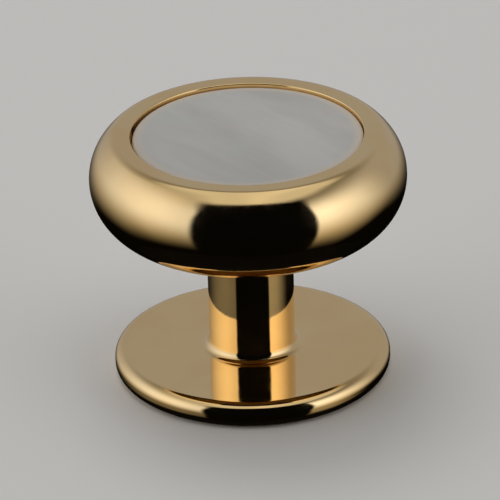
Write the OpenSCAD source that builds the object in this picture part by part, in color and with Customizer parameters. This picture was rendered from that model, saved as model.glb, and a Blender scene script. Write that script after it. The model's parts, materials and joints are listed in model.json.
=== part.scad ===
// Dress shirt stud: a bulging round head with a mother-of-pearl inlay, a short post and a round
// back disc. It stands on its back disc: the disc's underside is the plane z = 0, in millimetres,
// and +Z is the stud's axis.

/* [Head] */
// Diameter of the head at its widest
head_d = 11; // [10.4:0.1:13]
// Radius of the round bulge of the head's side, seen in section
bulge_r = 1.95; // [1.9:0.01:2.1]
// Height of the head from its flat underside to its rim
head_h = 3.55; // [3.45:0.01:3.6]
// Radius of the soft shoulder between the flat rim and the bulge
shoulder_r = 0.5; // [0.35:0.01:0.6]
// Width of the small bevel on the rim's inner edge
lip_bevel = 0.04; // [0.02:0.01:0.1]

/* [Inlay] */
// Diameter of the mother-of-pearl disc
inlay_d = 8; // [6:0.1:8.2]
// Thickness of the mother-of-pearl disc
inlay_t = 1; // [0.6:0.05:1.5]
// Depth of the inlay's face below the rim
inlay_recess = 0.1; // [0.05:0.01:0.3]
// Width of the bevel round the inlay's face
inlay_bevel = 0.12; // [0.03:0.01:0.15]
// Gap between the inlay and its seat, beside it and under it
inlay_gap = 0.04; // [0.02:0.01:0.1]

/* [Post] */
// Diameter of the post
post_d = 3; // [2:0.1:3.5]
// Length of the post from the back disc to the head
post_l = 4.55; // [4.3:0.05:6]
// Radius of the fillet at the foot of the post
foot_fillet_r = 0.3; // [0.1:0.05:0.4]
// Radius of the fillet where the post meets the head
neck_fillet_r = 0.15; // [0.05:0.05:0.3]

/* [Back disc] */
// Diameter of the back disc
disc_d = 9.65; // [8:0.05:11]
// Thickness of the back disc
disc_t = 0.9; // [0.85:0.01:1.4]
// Radius of the rounding on both edges of the back disc
disc_edge_r = 0.4; // [0.2:0.01:0.42]

/* [Hidden] */
$fn = 96;

// Heights of the main levels
underside_z = disc_t + post_l;
rim_z = underside_z + head_h;
inlay_top_z = rim_z - inlay_recess;
seat_floor_z = inlay_top_z - inlay_t - inlay_gap;

// Radii
head_r = head_d / 2;
inlay_r = inlay_d / 2;
seat_r = inlay_r + inlay_gap;
post_r = post_d / 2;
disc_r = disc_d / 2;

// Centre of the bulge's circle, which touches the underside and the head's widest diameter
bulge_x = head_r - bulge_r;
bulge_z = underside_z + bulge_r;

// Centre of the shoulder's circle, which touches the rim from below and crosses the bulge's circle
shoulder_cross = 0.006;
shoulder_z = rim_z - shoulder_r;
shoulder_rise = shoulder_z - bulge_z;
shoulder_reach = bulge_r - shoulder_r + shoulder_cross;
shoulder_x = bulge_x + sqrt(pow(shoulder_reach, 2) - pow(shoulder_rise, 2));

// Height at which the shoulder's circle stands out furthest past the bulge
shoulder_end_z = bulge_z + bulge_r * shoulder_rise / shoulder_reach;

// Overshoot of cutting shapes
cut = 1;

// The head's core and round bulge in section, higher than the rim
module bulge_section() {
    translate([0, underside_z]) square([bulge_x, head_h + cut]);
    translate([bulge_x, bulge_z]) circle(bulge_r);
}

// The flat rim and its shoulder in section, with room for the whole bulge below them
module rim_section() {
    translate([0, underside_z - cut]) square([shoulder_x, head_h + cut]);
    translate([shoulder_x, shoulder_z]) circle(shoulder_r);
    translate([0, underside_z - cut]) square([head_r + cut, shoulder_end_z - underside_z + cut]);
}

// The head in section, with its seat still filled
module head_section() {
    intersection() {
        bulge_section();
        rim_section();
    }
}

// The seat that the inlay lies in, with the bevel on the rim's inner edge
module seat_section() {
    polygon([
        [0, seat_floor_z],
        [seat_r, seat_floor_z],
        [seat_r, rim_z - lip_bevel],
        [seat_r + lip_bevel + cut, rim_z + cut],
        [0, rim_z + cut]
    ]);
}

// A concave fillet in the corner between the post and a flat face at height z
// side is 1 for a face below the fillet and -1 for a face above it
module fillet_section(z, fillet_r, side) {
    difference() {
        translate([post_r, z - (side < 0 ? fillet_r : 0)]) square(fillet_r);
        translate([post_r + fillet_r, z + side * fillet_r]) circle(fillet_r);
    }
}

// The post with a fillet at each end
module post_section() {
    square([post_r, underside_z + cut]);
    fillet_section(disc_t, foot_fillet_r, 1);
    fillet_section(underside_z, neck_fillet_r, -1);
}

// The back disc with both edges rounded
module disc_section() {
    square([disc_r - disc_edge_r, disc_t]);
    translate([0, disc_edge_r]) square([disc_r, disc_t - 2 * disc_edge_r]);
    for (z = [disc_edge_r, disc_t - disc_edge_r])
        translate([disc_r - disc_edge_r, z]) circle(disc_edge_r);
}

// Head, post and back disc, which are soldered into one piece of gold-plated brass
module stud_body() {
    color("goldenrod")
        rotate_extrude()
            difference() {
                union() {
                    head_section();
                    post_section();
                    disc_section();
                }
                seat_section();
            }
}

// The flat disc of mother-of-pearl, bevelled round its face
module pearl_inlay() {
    inlay_floor_z = inlay_top_z - inlay_t;
    color("gainsboro")
        rotate_extrude()
            polygon([
                [0, inlay_floor_z],
                [inlay_r, inlay_floor_z],
                [inlay_r, inlay_top_z - inlay_bevel],
                [inlay_r - inlay_bevel, inlay_top_z],
                [0, inlay_top_z]
            ]);
}

stud_body();
pearl_inlay();
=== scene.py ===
"""A gold-plated dress shirt stud with a mother-of-pearl inlay, standing on its back disc on a pale
floor in soft studio light. Lengths are in metres, and +Z is the stud's axis."""

import json
import math

import bpy
from mathutils import Matrix, Vector


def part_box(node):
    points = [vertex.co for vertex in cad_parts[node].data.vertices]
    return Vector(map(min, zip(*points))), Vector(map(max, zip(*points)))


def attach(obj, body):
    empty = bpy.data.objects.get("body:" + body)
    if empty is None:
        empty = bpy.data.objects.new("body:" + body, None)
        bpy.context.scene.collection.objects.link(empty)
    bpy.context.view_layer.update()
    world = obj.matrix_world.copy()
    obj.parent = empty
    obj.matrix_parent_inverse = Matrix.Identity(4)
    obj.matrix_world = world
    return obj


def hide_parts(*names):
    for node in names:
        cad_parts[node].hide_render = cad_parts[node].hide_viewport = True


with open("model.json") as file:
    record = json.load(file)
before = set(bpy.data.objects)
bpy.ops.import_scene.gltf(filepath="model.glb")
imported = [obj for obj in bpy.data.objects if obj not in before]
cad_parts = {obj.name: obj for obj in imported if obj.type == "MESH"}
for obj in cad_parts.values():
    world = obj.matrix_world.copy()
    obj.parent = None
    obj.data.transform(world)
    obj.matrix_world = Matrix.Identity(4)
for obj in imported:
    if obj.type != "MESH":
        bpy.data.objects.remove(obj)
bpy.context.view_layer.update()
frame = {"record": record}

# Sizes that the solids give
body_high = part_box("stud_body")[1]
pearl_low, pearl_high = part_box("pearl_inlay")
groove = next(mount for mount in frame["record"]["mounts"] if mount["name"] == "post_groove")

MM = 0.001
head_r = body_high.x
rim_z = body_high.z
inlay_r = pearl_high.x
inlay_floor_z = pearl_low.z
inlay_top_z = pearl_high.z
post_r = groove["dims"]["r_mm"] * MM
post_l = groove["dims"]["length_mm"] * MM
disc_t = groove["pos_m"][2] - post_l / 2
underside_z = disc_t + post_l

# Sizes of the rounded forms and of the back disc, as in the solids
bulge_r = 1.95 * MM
shoulder_r = 0.5 * MM
lip_r = 0.04 * MM
inlay_gap = 0.04 * MM
inlay_bevel_r = 0.12 * MM
seat_corner_r = 0.03 * MM
inlay_foot_r = 0.03 * MM
foot_fillet_r = 0.3 * MM
neck_fillet_r = 0.15 * MM
disc_r = 4.825 * MM
disc_edge_r = 0.4 * MM

seat_r = inlay_r + inlay_gap
seat_floor_z = inlay_floor_z - inlay_gap

# The inlay lies a little to the viewer's right of its seat's middle, within the gap round it
inlay_shift = 0.03 * MM

# Camera: the photograph's viewing angle, and the lens that fills the frame with the stud
view_azimuth = 1.3
view_elevation = 26.7
view_distance = 193.2 * MM
view_roll = 1.53
lens_mm = 400
aim = Vector((0, 0, 4.5 * MM))


def direction(azimuth, elevation):
    """Unit vector from the stud: azimuth 0 is towards the viewer and 90 to the viewer's right."""
    a, e = math.radians(azimuth), math.radians(elevation)
    return Vector((math.sin(a) * math.cos(e), -math.cos(a) * math.cos(e), math.sin(e)))


# Outlines and turned meshes

# Distance from a straight stretch's ends to the extra points that keep its shading flat
HOLD = 0.015 * MM

# Below this, a distance counts as none
TINY = HOLD / 100

# Points round each ring of a turned mesh
TURNS = 256


def straight(start, end):
    """Extra points just inside both ends of a straight stretch."""
    start, end = Vector(start), Vector(end)
    step = (end - start).normalized() * HOLD
    return [tuple(start + step), tuple(end - step)]


def arc(centre, radius, start, end, step=5):
    """Points along an arc from one angle to another in degrees, both ends included."""
    count = max(2, round(abs(end - start) / step))
    angles = [math.radians(start + (end - start) * i / count) for i in range(count + 1)]
    return [(centre[0] + radius * math.cos(a), centre[1] + radius * math.sin(a)) for a in angles]


def joined(*stretches):
    """An outline of arcs and end points, with straight stretches between them held flat."""
    outline = list(stretches[0])
    for stretch in stretches[1:]:
        gap = Vector(stretch[0]) - Vector(outline[-1])
        if gap.length > 3 * HOLD:
            outline += straight(outline[-1], stretch[0])
        outline += stretch if gap.length > TINY else stretch[1:]
    return outline


def turned(name, outline, material):
    """A mesh of revolution round Z from an outline of (radius, height) points."""
    rings, points = [], []
    for radius, height in outline:
        count = TURNS if radius > TINY else 1
        rings.append(range(len(points), len(points) + count))
        for i in range(count):
            angle = 2 * math.pi * i / TURNS
            points.append((radius * math.cos(angle), radius * math.sin(angle), height))
    faces = []
    for lower, upper in zip(rings, rings[1:]):
        for i in range(TURNS):
            j = (i + 1) % TURNS
            if len(lower) == 1:
                faces.append((lower[0], upper[j], upper[i]))
            elif len(upper) == 1:
                faces.append((lower[i], lower[j], upper[0]))
            else:
                faces.append((lower[i], lower[j], upper[j], upper[i]))
    mesh = bpy.data.meshes.new(name)
    mesh.from_pydata(points, [], faces)
    mesh.shade_smooth()
    mesh.materials.append(material)
    piece = bpy.data.objects.new(name, mesh)
    bpy.context.scene.collection.objects.link(piece)
    return piece


def body_outline():
    """Back disc, post and head with its seat, from the middle of the back face outwards and up."""
    bulge = (head_r - bulge_r, underside_z + bulge_r)
    rise = rim_z - shoulder_r - bulge[1]
    reach = math.sqrt((bulge_r - shoulder_r) ** 2 - rise ** 2)
    shoulder = (bulge[0] + reach, rim_z - shoulder_r)
    meet = math.degrees(math.atan2(rise, reach))
    edge_x = disc_r - disc_edge_r
    foot = (post_r + foot_fillet_r, disc_t + foot_fillet_r)
    neck = (post_r + neck_fillet_r, underside_z - neck_fillet_r)
    lip = (seat_r + lip_r, rim_z - lip_r)
    corner = (seat_r - seat_corner_r, seat_floor_z + seat_corner_r)
    return joined(
        [(0, 0)],
        arc((edge_x, disc_edge_r), disc_edge_r, -90, 0),
        arc((edge_x, disc_t - disc_edge_r), disc_edge_r, 0, 90),
        arc(foot, foot_fillet_r, 270, 180),
        arc(neck, neck_fillet_r, 180, 90),
        arc(bulge, bulge_r, -90, meet, 2.5),
        arc(shoulder, shoulder_r, meet, 90),
        arc(lip, lip_r, 90, 180, 15),
        arc(corner, seat_corner_r, 0, -90, 30),
        [(0, seat_floor_z)],
    )


def pearl_outline():
    """The flat inlay with a small rounding round its face."""
    foot = (inlay_r - inlay_foot_r, inlay_floor_z + inlay_foot_r)
    face = (inlay_r - inlay_bevel_r, inlay_top_z - inlay_bevel_r)
    return joined(
        [(0, inlay_floor_z)],
        arc(foot, inlay_foot_r, -90, 0, 30),
        arc(face, inlay_bevel_r, 0, 90, 10),
        [(0, inlay_top_z)],
    )


# Materials

def add(tree, kind, inputs=None, **fields):
    """Adds a node. An input that is a socket is linked, and any other is set."""
    made = tree.nodes.new(kind)
    for field, value in fields.items():
        setattr(made, field, value)
    for name, value in (inputs or {}).items():
        if isinstance(value, bpy.types.NodeSocket):
            tree.links.new(value, made.inputs[name])
        else:
            made.inputs[name].default_value = value
    return made


def new_material(name):
    """An empty node material, with its tree and its output node."""
    material = bpy.data.materials.new(name)
    material.use_nodes = True
    material.node_tree.nodes.clear()
    output = material.node_tree.nodes.new("ShaderNodeOutputMaterial")
    return material, material.node_tree, output


def millimetres(tree, turn=(0, 0, 0), stretch=(1, 1, 1), shift=0):
    """The piece's own coordinates in millimetres, turned, stretched and then shifted."""
    place = add(tree, "ShaderNodeTexCoord").outputs["Object"]
    scale = [factor / MM for factor in stretch]
    angles = [math.radians(angle) for angle in turn]
    turned_place = add(tree, "ShaderNodeVectorRotate", {"Vector": place, "Rotation": angles},
                       rotation_type="EULER_XYZ")
    scaled = add(tree, "ShaderNodeVectorMath", {
        0: turned_place.outputs[0], 1: scale, 2: (shift, shift, shift)}, operation="MULTIPLY_ADD")
    return scaled.outputs[0]


def noise(tree, place, scale, detail=2, roughness=0.5, distortion=0):
    """Noise from 0 to 1, with as many features to each unit of place as scale says."""
    made = add(tree, "ShaderNodeTexNoise", {
        "Vector": place, "Scale": scale, "Detail": detail, "Roughness": roughness,
        "Distortion": distortion})
    return made.outputs["Fac"]


def mapped(tree, value, low, high, to_low, to_high):
    """A value moved from one range to another with soft ends."""
    made = add(tree, "ShaderNodeMapRange", {
        "Value": value, "From Min": low, "From Max": high, "To Min": to_low, "To Max": to_high},
        interpolation_type="SMOOTHSTEP")
    return made.outputs["Result"]


def blended(tree, share, first, second):
    """A colour between two colours."""
    made = add(tree, "ShaderNodeMix", {"Factor": share}, data_type="RGBA")
    for socket, colour in ((made.inputs[6], first), (made.inputs[7], second)):
        if isinstance(colour, bpy.types.NodeSocket):
            tree.links.new(colour, socket)
        else:
            socket.default_value = (*colour, 1)
    return made.outputs[2]


def mixed(tree, share, first, second):
    """A value between two values."""
    made = add(tree, "ShaderNodeMix", {0: share, 2: first, 3: second}, data_type="FLOAT")
    return made.outputs[0]


def worked_out(tree, operation, first, second=0):
    """One step of arithmetic on one or two values."""
    return add(tree, "ShaderNodeMath", {0: first, 1: second}, operation=operation).outputs[0]


def plus(tree, first, second):
    """Two values added."""
    return worked_out(tree, "ADD", first, second)


def times(tree, first, second):
    """Two values multiplied."""
    return worked_out(tree, "MULTIPLY", first, second)


# Colours of the plate and of the shell
gold_light = (1.0, 0.735, 0.375)
gold_deep = (0.98, 0.69, 0.33)
# Painted shade: the darkened colour of the head's underside
gold_painted_shade = (0.4, 0.28, 0.14)
shell_grey = (0.47, 0.452, 0.415)
shell_white = (0.605, 0.585, 0.54)
shell_rose = (0.575, 0.525, 0.49)
shell_green = (0.50, 0.54, 0.51)
# Painted reflection of the gold round the shell's edge
shell_edge_painted_reflection = (0.63, 0.56, 0.46)


def gold_material():
    """Polished gold plate, with faint changes of tone, smudges and buffing marks. The head's
    underside is rougher, and its colour is darkened there as painted shade."""
    material, tree, output = new_material("polished_gold")
    place = millimetres(tree)
    tone = mapped(tree, noise(tree, place, 0.4, 3), 0.35, 0.7, 0, 1)
    colour = blended(tree, tone, gold_light, gold_deep)
    smudge = mapped(tree, noise(tree, place, 1.1, 5, 0.6), 0.4, 0.75, 0.05, 0.11)
    marks = noise(tree, millimetres(tree, (20, 35, 10), (1, 24, 24)), 1, 2)
    polish = plus(tree, smudge, mapped(tree, marks, 0.55, 0.8, 0, 0.05))

    # Rougher finish, and painted shade that darkens the colour, from the small fillet at the post's
    # top to just above the head's underside
    height = add(tree, "ShaderNodeSeparateXYZ", {0: place}).outputs["Z"]
    level = plus(tree, height, -underside_z / MM)
    satin_and_painted_shade = times(tree, mapped(tree, level, -0.2, -0.15, 0, 1),
                  mapped(tree, level, 0.02, 0.06, 1, 0))
    roughness = mixed(tree, satin_and_painted_shade, polish, 0.5)
    # Painted shade: under the head the colour is darkened towards a dim brown
    colour = blended(tree, satin_and_painted_shade, colour, gold_painted_shade)

    wave = noise(tree, place, 0.7, 1)
    waves = add(tree, "ShaderNodeBump", {"Strength": 0.05, "Distance": 0.2 * MM, "Height": wave})
    bumps = add(tree, "ShaderNodeBump", {"Strength": 0.03, "Distance": 0.01 * MM, "Height": marks,
                                         "Normal": waves.outputs[0]})
    shader = add(tree, "ShaderNodeBsdfPrincipled", {
        "Base Color": colour, "Metallic": 1.0, "Roughness": roughness, "Normal": bumps.outputs[0]})
    tree.links.new(shader.outputs[0], output.inputs["Surface"])
    return material


def pearl_material():
    """Polished shell: soft bands, clouds and fine grain of white and grey, with hints of rose and
    of blue-green. A pale, warm painted reflection of the gold runs round its edge, and painted
    light makes it lighter towards the back right."""
    material, tree, output = new_material("mother_of_pearl")
    bands = noise(tree, millimetres(tree, (0, 0, 51), (0.1, 0.36, 0.36), 10), 1, 2, 0.45, 0.6)
    grain = noise(tree, millimetres(tree, (0, 0, 47), (0.35, 2.6, 2.6)), 1, 3, 0.5, 0.4)
    clouds = noise(tree, millimetres(tree, (0, 0, 20), (0.35, 0.5, 0.5)), 1, 4, 0.55, 0.8)
    tint = noise(tree, millimetres(tree, (0, 0, -15), (0.3, 0.45, 0.45)), 1, 2, 0.5, 0.5)
    streaks = plus(tree, bands, mapped(tree, grain, 0.3, 0.7, -0.04, 0.04))
    white = blended(tree, mapped(tree, streaks, 0.3, 0.7, 0, 1), shell_grey, shell_white)
    tinted = blended(tree, mapped(tree, tint, 0.35, 0.65, 0, 1), shell_rose, shell_green)
    face = blended(tree, mapped(tree, clouds, 0.4, 0.7, 0, 0.6), white, tinted)

    radius = add(tree, "ShaderNodeVectorMath", {0: millimetres(tree, stretch=(1, 1, 0))},
                 operation="LENGTH").outputs["Value"]
    # Painted reflection of the gold: the colour turns paler and warmer towards the edge
    edge = mapped(tree, radius, inlay_r / MM - 0.45, inlay_r / MM - 0.15, 0, 1)
    tones_and_painted_reflection = blended(tree, edge, face, shell_edge_painted_reflection)
    place = add(tree, "ShaderNodeSeparateXYZ", {0: millimetres(tree)})
    # Painted light: the colour grows lighter towards the back right
    painted_light_back_right = plus(tree, place.outputs["Y"], times(tree, place.outputs["X"], 0.5))
    colour = add(tree, "ShaderNodeHueSaturation", {
        "Color": tones_and_painted_reflection, "Value": mapped(tree, painted_light_back_right, -4, 3.5, 1, 1.15)}).outputs[0]

    silk = add(tree, "ShaderNodeBump", {"Strength": 0.25, "Distance": 0.5 * MM, "Height": bands})
    shader = add(tree, "ShaderNodeBsdfPrincipled", {
        "Base Color": colour, "Roughness": 0.38, "Normal": silk.outputs[0],
        "Specular IOR Level": 0.7, "Coat Weight": 1.0, "Coat Roughness": 0.05, "Coat IOR": 1.53})
    tree.links.new(shader.outputs[0], output.inputs["Surface"])
    return material


# The stud

body = turned("gold_body", body_outline(), gold_material())
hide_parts("stud_body")
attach(body, "root")

pearl = turned("pearl_disc", pearl_outline(), pearl_material())
pearl.location.x = inlay_shift
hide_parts("pearl_inlay")
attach(pearl, "root")


# Studio

floor_side = 4
floor_drop = 0.005 * MM
ground_side = 20
ground_z = -0.6

# The dome reaches down to this elevation
dome_r = 0.8
dome_foot = -55

lamp_azimuth = 200
lamp_elevation = 62
lamp_distance = 0.6
lamp_size = 0.35
lamp_energy = 0.5

# Radiances of the dome's parts
left_radiance = 0.63
right_radiance = 0.9
top_radiance = 0.78
backdrop_radiance = 0.33
high_radiance = 0.18
dark_radiance = 0.002

# Colours of the floor and of the ground
floor_pale = (0.9, 0.89, 0.87)
ground_black = (0.003, 0.003, 0.003)

# Colours of the light from the dome and from the world round it
low_light = (1.0, 0.88, 0.62)
middle_light = (1.0, 1.02, 1.1)
high_light = (1.0, 0.96, 0.88)
top_light = (1.0, 0.98, 0.9)
world_light = (1.0, 1.02, 1.12)


def flat_sheet(name, side, material):
    """A flat square sheet that belongs to the studio."""
    half = side / 2
    corners = [(-half, -half, 0), (half, -half, 0), (half, half, 0), (-half, half, 0)]
    mesh = bpy.data.meshes.new(name)
    mesh.from_pydata(corners, [], [(0, 1, 2, 3)])
    mesh.materials.append(material)
    sheet = bpy.data.objects.new(name, mesh)
    bpy.context.scene.collection.objects.link(sheet)
    return sheet


def side_light(tree, azimuth, elevation, edge, fade, foot, rise, radiance):
    """Light on one side of the dome: it starts at an upright edge, fades round the side to the
    plain back, fades upwards, and fades to the dark at its foot. All its limits are in degrees."""
    lit = mapped(tree, azimuth, *fade, radiance, 0)
    lit = times(tree, lit, mapped(tree, elevation, *rise, 1, 0))
    lit = plus(tree, lit, mapped(tree, elevation, 28, 54, backdrop_radiance, high_radiance))
    lit = times(tree, lit, mapped(tree, elevation, *foot, 0, 1))
    return times(tree, lit, mapped(tree, azimuth, *edge, 0, 1))


def overhead_light(tree, x):
    """Light over the stud, which fades towards both sides, more to the left, and is a little dimmer
    just left of its middle."""
    lit = mapped(tree, x, -0.55 * dome_r, 0, 0.6 * top_radiance, top_radiance)
    lit = times(tree, lit, mapped(tree, x, 0, 0.35 * dome_r, 1, 0.76))
    from_dim = worked_out(tree, "ABSOLUTE", plus(tree, x, 0.08 * dome_r))
    return times(tree, lit, mapped(tree, from_dim, 0, 0.25 * dome_r, 0.8, 1))


def in_degrees(tree, angle):
    """An angle in radians turned to degrees."""
    return times(tree, angle, math.degrees(1))


def dome_material():
    """The dome's light: soft on each side and overhead, plain at the back, black at the front and
    dark at its foot."""
    material, tree, output = new_material("dome")
    place = add(tree, "ShaderNodeTexCoord").outputs["Object"]
    x, y, z = add(tree, "ShaderNodeSeparateXYZ", {0: place}).outputs
    front = times(tree, y, -1)
    azimuth = in_degrees(tree, worked_out(tree, "ARCTAN2", x, front))
    elevation = in_degrees(tree, worked_out(tree, "ARCSINE", times(tree, z, 1 / dome_r)))

    # Angle up from the front, seen from the side: 90 is straight up
    over = in_degrees(tree, worked_out(tree, "ARCTAN2", z, front))

    # The black front lies between the two side lights, whose edges grow softer upwards
    left_end = mapped(tree, elevation, 30, 55, -43, -54)
    right_end = mapped(tree, elevation, 30, 55, 52, 60)

    # Each side light's foot climbs towards the back, and grows sharper
    left_foot = (mapped(tree, azimuth, -95, -150, -42, -31),
                 mapped(tree, azimuth, -95, -150, 15, -3))
    right_foot = (mapped(tree, azimuth, 70, 120, -49, -28),
                  mapped(tree, azimuth, 70, 120, 21, -2))

    left = side_light(tree, azimuth, elevation, edge=(-38, left_end), fade=(-72, -165),
                      foot=left_foot, rise=(16, 95), radiance=left_radiance)
    left = times(tree, left, mapped(tree, azimuth, -72, -38, 1, 0.8))
    right = side_light(tree, azimuth, elevation, edge=(48, right_end), fade=(55, 125),
                       foot=right_foot, rise=(18, 52), radiance=right_radiance)
    sides = plus(tree, plus(tree, left, right), dark_radiance)

    top = times(tree, mapped(tree, over, 56, 61, 0, 1), mapped(tree, elevation, 48, 60, 0, 1))
    strength = mixed(tree, top, sides, overhead_light(tree, x))
    shade = blended(tree, mapped(tree, elevation, -35, 5, 0, 1), low_light, middle_light)
    shade = blended(tree, mapped(tree, elevation, 32, 54, 0, 1), shade, high_light)
    shade = blended(tree, top, shade, top_light)
    shader = add(tree, "ShaderNodeEmission", {"Color": shade, "Strength": strength})
    tree.links.new(shader.outputs[0], output.inputs["Surface"])
    return material


def plain_material(name, colour, roughness):
    """An even surface of the studio."""
    material, tree, output = new_material(name)
    shader = add(tree, "ShaderNodeBsdfPrincipled", {
        "Base Color": (*colour, 1), "Roughness": roughness, "Specular IOR Level": 0.3})
    tree.links.new(shader.outputs[0], output.inputs["Surface"])
    return material


floor = flat_sheet("floor", floor_side, plain_material("pale_floor", floor_pale, 0.6))
floor.location = (0, 0, -floor_drop)
floor.visible_glossy = False

# Black ground that only the gold reflects
ground = flat_sheet("black_ground", ground_side, plain_material("black", ground_black, 0.9))
ground.location = (0, 0, ground_z)
ground.visible_camera = False
ground.visible_shadow = False
ground.visible_diffuse = False

# Dome round the stud, with its lights and its black front
dome = turned("dome", arc((0, 0), dome_r, dome_foot, 90, 2.5), dome_material())
dome.visible_camera = False

# Lamp behind and above the stud, for the floor and the inlay: the gold doesn't reflect it
lamp = bpy.data.lights.new("top_lamp", "AREA")
lamp.shape = "DISK"
lamp.size = lamp_size
lamp.energy = lamp_energy
top_lamp = bpy.data.objects.new("top_lamp", lamp)
bpy.context.scene.collection.objects.link(top_lamp)
lamp_side = direction(lamp_azimuth, lamp_elevation)
top_lamp.location = lamp_side * lamp_distance
top_lamp.rotation_euler = lamp_side.to_track_quat("Z", "Y").to_euler()
top_lamp.visible_camera = False
top_lamp.visible_glossy = False

world = bpy.data.worlds.new("studio")
world.use_nodes = True
world.node_tree.nodes["Background"].inputs["Color"].default_value = (*world_light, 1)
world.node_tree.nodes["Background"].inputs["Strength"].default_value = backdrop_radiance
bpy.context.scene.world = world
bpy.context.scene.view_settings.view_transform = "Standard"


# Camera

camera_data = bpy.data.cameras.new("camera")
camera_data.lens = lens_mm
camera_data.sensor_width = 36
camera_data.clip_start = 10 * MM
camera = bpy.data.objects.new("camera", camera_data)
bpy.context.scene.collection.objects.link(camera)
view_side = direction(view_azimuth, view_elevation)
upright = view_side.to_track_quat("Z", "Y").to_matrix()
rolled = upright @ Matrix.Rotation(math.radians(-view_roll), 3, "Z")
camera.matrix_world = Matrix.Translation(aim + view_side * view_distance) @ rolled.to_4x4()
bpy.context.scene.camera = camera
